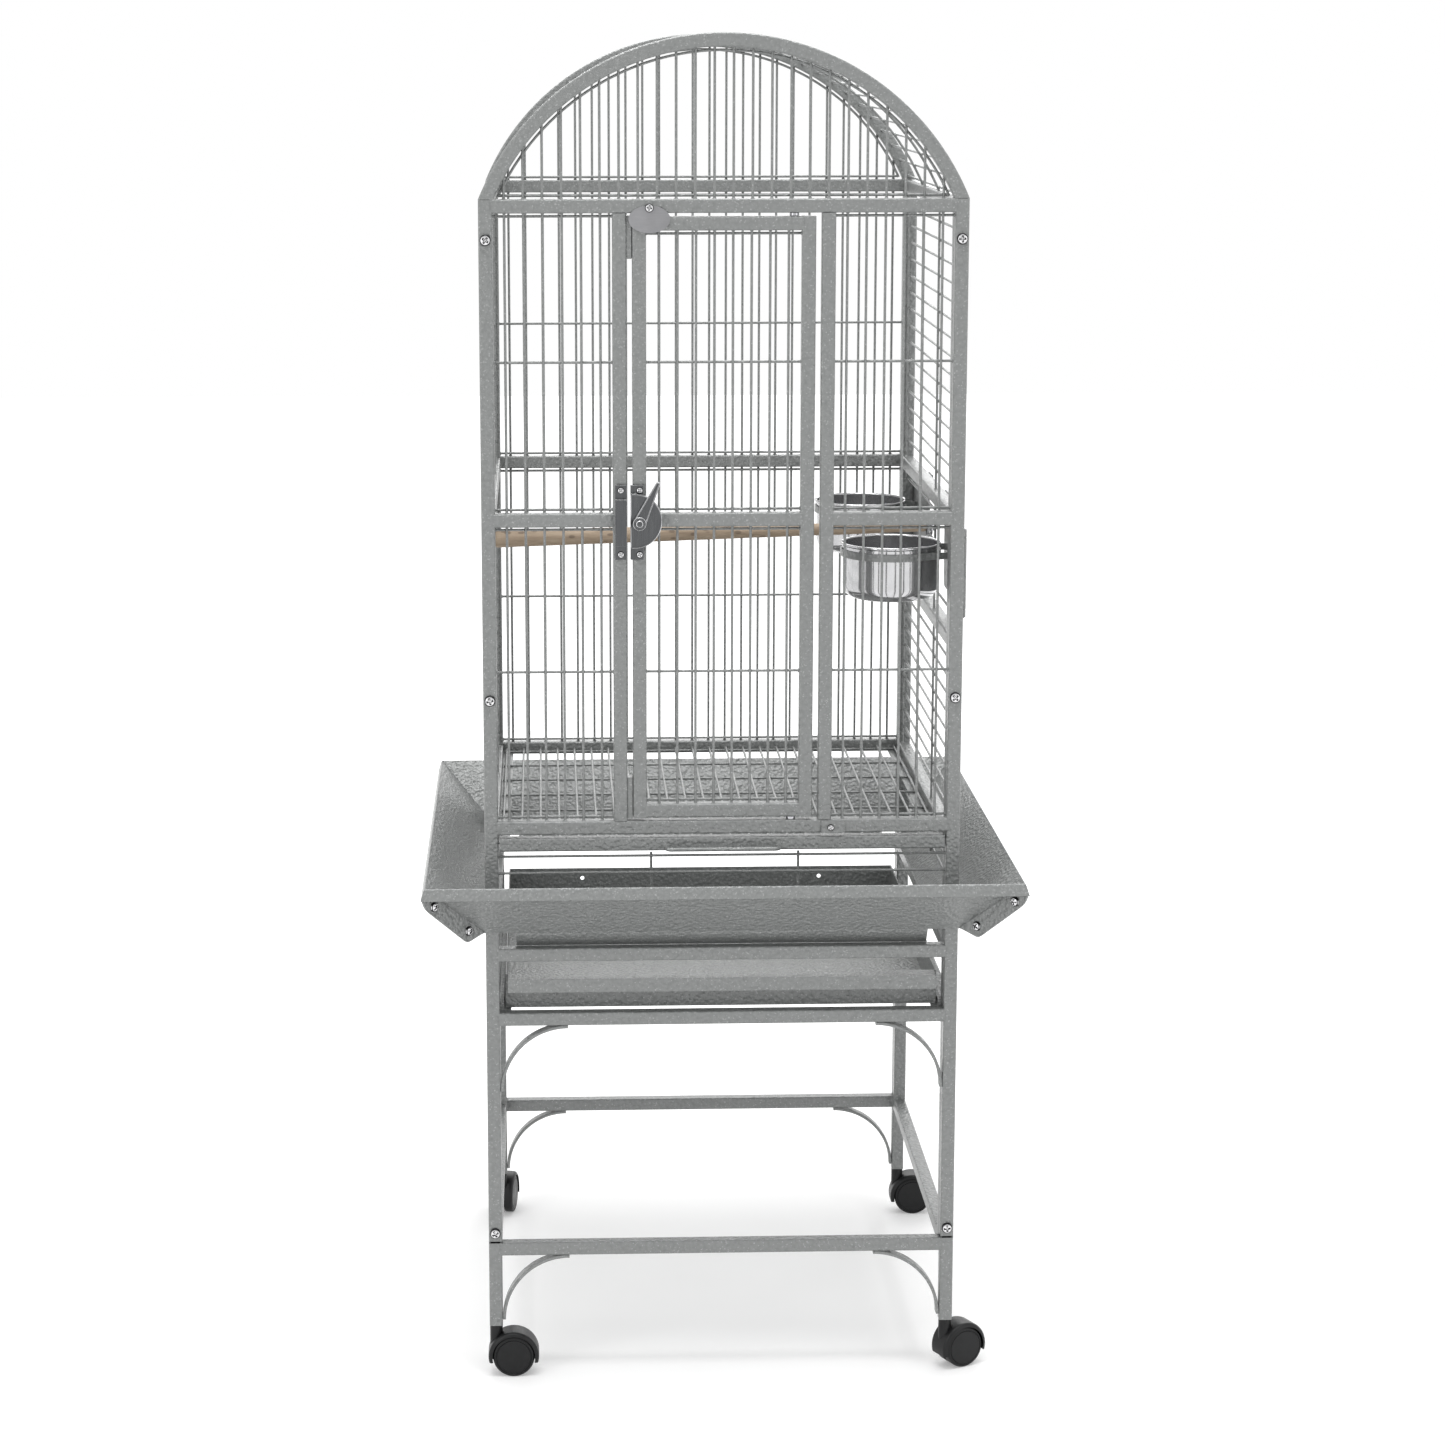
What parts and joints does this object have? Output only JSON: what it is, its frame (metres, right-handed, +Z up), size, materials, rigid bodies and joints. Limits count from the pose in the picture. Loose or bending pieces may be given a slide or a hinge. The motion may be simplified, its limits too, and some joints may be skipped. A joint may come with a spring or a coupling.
{
  "type": "bird cage on stand",
  "caption": "Dome-top bird cage of square tube and wire on a rolling stand, with a latched front door, side feeder doors with bowls, perch, pull-out grate and tray, and sloping seed guards.",
  "frame": {"origin": "on the floor, below the centre of the cage", "axes": "+X to the right seen from the front door, +Y to the back, +Z up"},
  "size_m": [0.5774, 0.5774, 1.304],
  "materials": {
    "hammertone_paint": "hammertone powder coat, satin",
    "chrome": "bright zinc or chrome plating",
    "gunmetal": "dark plated, satin",
    "steel": "pressed stainless steel",
    "perch_wood": "turned hardwood, unvarnished",
    "caster_plastic": "black nylon"
  },
  "bodies": {
    "cage": {"front_frame": "hammertone_paint", "rear_frame": "hammertone_paint", "left_frame": "hammertone_paint", "right_frame": "hammertone_paint", "front_arch": "hammertone_paint", "rear_arch": "hammertone_paint", "front_left_bars": "hammertone_paint", "front_right_bars": "hammertone_paint", "front_dome_bars": "hammertone_paint", "rear_bars": "hammertone_paint", "rear_dome_bars": "hammertone_paint", "left_bars": "hammertone_paint", "right_bars": "hammertone_paint", "dome_bars": "hammertone_paint", "dome_hoops": "hammertone_paint", "apron_wires": "hammertone_paint", "base_frame": "hammertone_paint", "stand_braces": "hammertone_paint", "frame_bolts": "chrome", "front_seed_guard": "hammertone_paint", "rear_seed_guard": "hammertone_paint", "left_seed_guard": "hammertone_paint", "right_seed_guard": "hammertone_paint", "guard_bolts": "chrome", "tray_guides": "hammertone_paint", "grate_runners": "hammertone_paint", "door_stops": "hammertone_paint", "hinge_pins": "chrome", "latch_keeper": "gunmetal", "small_screws": "chrome", "perch": "perch_wood", "perch_bolts": "chrome", "feeder_hinge_pins": "gunmetal", "feeder_brackets": "hammertone_paint", "caster_sockets": "chrome"},
    "door": {"door_frame": "hammertone_paint", "door_bars": "hammertone_paint", "latch_body": "gunmetal", "door_screws": "chrome"},
    "badge": {"badge_plate": "steel"},
    "latch_lever": {"latch_lever": "gunmetal"},
    "latch_bolt": {"latch_bolt": "steel"},
    "grate": {"grate_frame": "hammertone_paint", "grate_wires": "hammertone_paint"},
    "grate_lock": {"grate_lock_tab": "hammertone_paint"},
    "tray": {"tray": "hammertone_paint"},
    "front_feeder_door": {"feeder_door_front": "hammertone_paint"},
    "rear_feeder_door": {"feeder_door_rear": "hammertone_paint"},
    "front_bowl": {"feed_bowl_front": "steel"},
    "rear_bowl": {"feed_bowl_rear": "steel"},
    "front_catch": {"feeder_catch_front": "gunmetal"},
    "rear_catch": {"feeder_catch_rear": "gunmetal"},
    "front_left_swivel": {"caster_hood_front_left": "caster_plastic"},
    "front_left_wheels": {"caster_wheels_front_left": "caster_plastic"},
    "front_right_swivel": {"caster_hood_front_right": "caster_plastic"},
    "front_right_wheels": {"caster_wheels_front_right": "caster_plastic"},
    "rear_left_swivel": {"caster_hood_rear_left": "caster_plastic"},
    "rear_left_wheels": {"caster_wheels_rear_left": "caster_plastic"},
    "rear_right_swivel": {"caster_hood_rear_right": "caster_plastic"},
    "rear_right_wheels": {"caster_wheels_rear_right": "caster_plastic"}
  },
  "joints": [
    {"name": "door_swing", "type": "hinge", "parent": "cage", "child": "door", "pos_m": [0.0656, -0.222, 0.85], "axis": [0, 0, 1], "range_deg": [0, 110]},
    {"name": "badge_turn", "type": "hinge", "parent": "cage", "child": "badge", "pos_m": [-0.06975, -0.2298, 1.144], "axis": [0, 1, 0], "range_deg": [0, 180]},
    {"name": "latch_turn", "type": "hinge", "parent": "door", "child": "latch_lever", "pos_m": [-0.0796, -0.238, 0.85], "axis": [0, 1, 0], "range_deg": [0, 60]},
    {"name": "latch_bolt_slide", "type": "slide", "parent": "door", "child": "latch_bolt", "axis": [-1, 0, 0], "range_m": [0, 0.009]},
    {"name": "grate_slide", "type": "slide", "parent": "cage", "child": "grate", "axis": [0, -1, 0], "range_m": [0, 0.4]},
    {"name": "grate_lock_turn", "type": "hinge", "parent": "cage", "child": "grate_lock", "pos_m": [0.1038, -0.2295, 0.55296], "axis": [0, 1, 0], "range_deg": [0, 90]},
    {"name": "tray_slide", "type": "slide", "parent": "cage", "child": "tray", "axis": [0, -1, 0], "range_m": [0, 0.38]},
    {"name": "front_feeder_swing", "type": "hinge", "parent": "cage", "child": "front_feeder_door", "pos_m": [0.231, -0.209, 0.7955], "axis": [0, 0, -1], "range_deg": [0, 100]},
    {"name": "rear_feeder_swing", "type": "hinge", "parent": "cage", "child": "rear_feeder_door", "pos_m": [0.231, 0.209, 0.7955], "axis": [0, 0, 1], "range_deg": [0, 100]},
    {"name": "front_bowl_lift", "type": "slide", "parent": "front_feeder_door", "child": "front_bowl", "axis": [0, 0, 1], "range_m": [0, 0.07]},
    {"name": "rear_bowl_lift", "type": "slide", "parent": "rear_feeder_door", "child": "rear_bowl", "axis": [0, 0, 1], "range_m": [0, 0.07]},
    {"name": "front_catch_turn", "type": "hinge", "parent": "cage", "child": "front_catch", "pos_m": [0.231, -0.084, 0.8515], "axis": [-1, 0, 0], "range_deg": [0, 90]},
    {"name": "rear_catch_turn", "type": "hinge", "parent": "cage", "child": "rear_catch", "pos_m": [0.231, 0.084, 0.8515], "axis": [1, 0, 0], "range_deg": [0, 90]},
    {"name": "front_left_swivel_turn", "type": "hinge", "parent": "cage", "child": "front_left_swivel", "pos_m": [-0.222, -0.222, 0.05], "axis": [0, 0, 1], "continuous": true},
    {"name": "front_left_wheel_roll", "type": "hinge", "parent": "front_left_swivel", "child": "front_left_wheels", "pos_m": [-0.205, -0.222, 0.0205], "axis": [0, 1, 0], "continuous": true},
    {"name": "front_right_swivel_turn", "type": "hinge", "parent": "cage", "child": "front_right_swivel", "pos_m": [0.222, -0.222, 0.05], "axis": [0, 0, 1], "continuous": true},
    {"name": "front_right_wheel_roll", "type": "hinge", "parent": "front_right_swivel", "child": "front_right_wheels", "pos_m": [0.23715, -0.21428, 0.0205], "axis": [-0.454, 0.891, 0], "continuous": true},
    {"name": "rear_left_swivel_turn", "type": "hinge", "parent": "cage", "child": "rear_left_swivel", "pos_m": [-0.222, 0.222, 0.05], "axis": [0, 0, 1], "continuous": true},
    {"name": "rear_left_wheel_roll", "type": "hinge", "parent": "rear_left_swivel", "child": "rear_left_wheels", "pos_m": [-0.21905, 0.23874, 0.0205], "axis": [-0.9848, 0.1736, 0], "continuous": true},
    {"name": "rear_right_swivel_turn", "type": "hinge", "parent": "cage", "child": "rear_right_swivel", "pos_m": [0.222, 0.222, 0.05], "axis": [0, 0, 1], "continuous": true},
    {"name": "rear_right_wheel_roll", "type": "hinge", "parent": "rear_right_swivel", "child": "rear_right_wheels", "pos_m": [0.239, 0.222, 0.0205], "axis": [0, 1, 0], "continuous": true}
  ],
  "couplings": [
    {"joint": "latch_bolt_slide", "follows": "latch_turn", "m_per_rad": 0.0085}
  ]
}
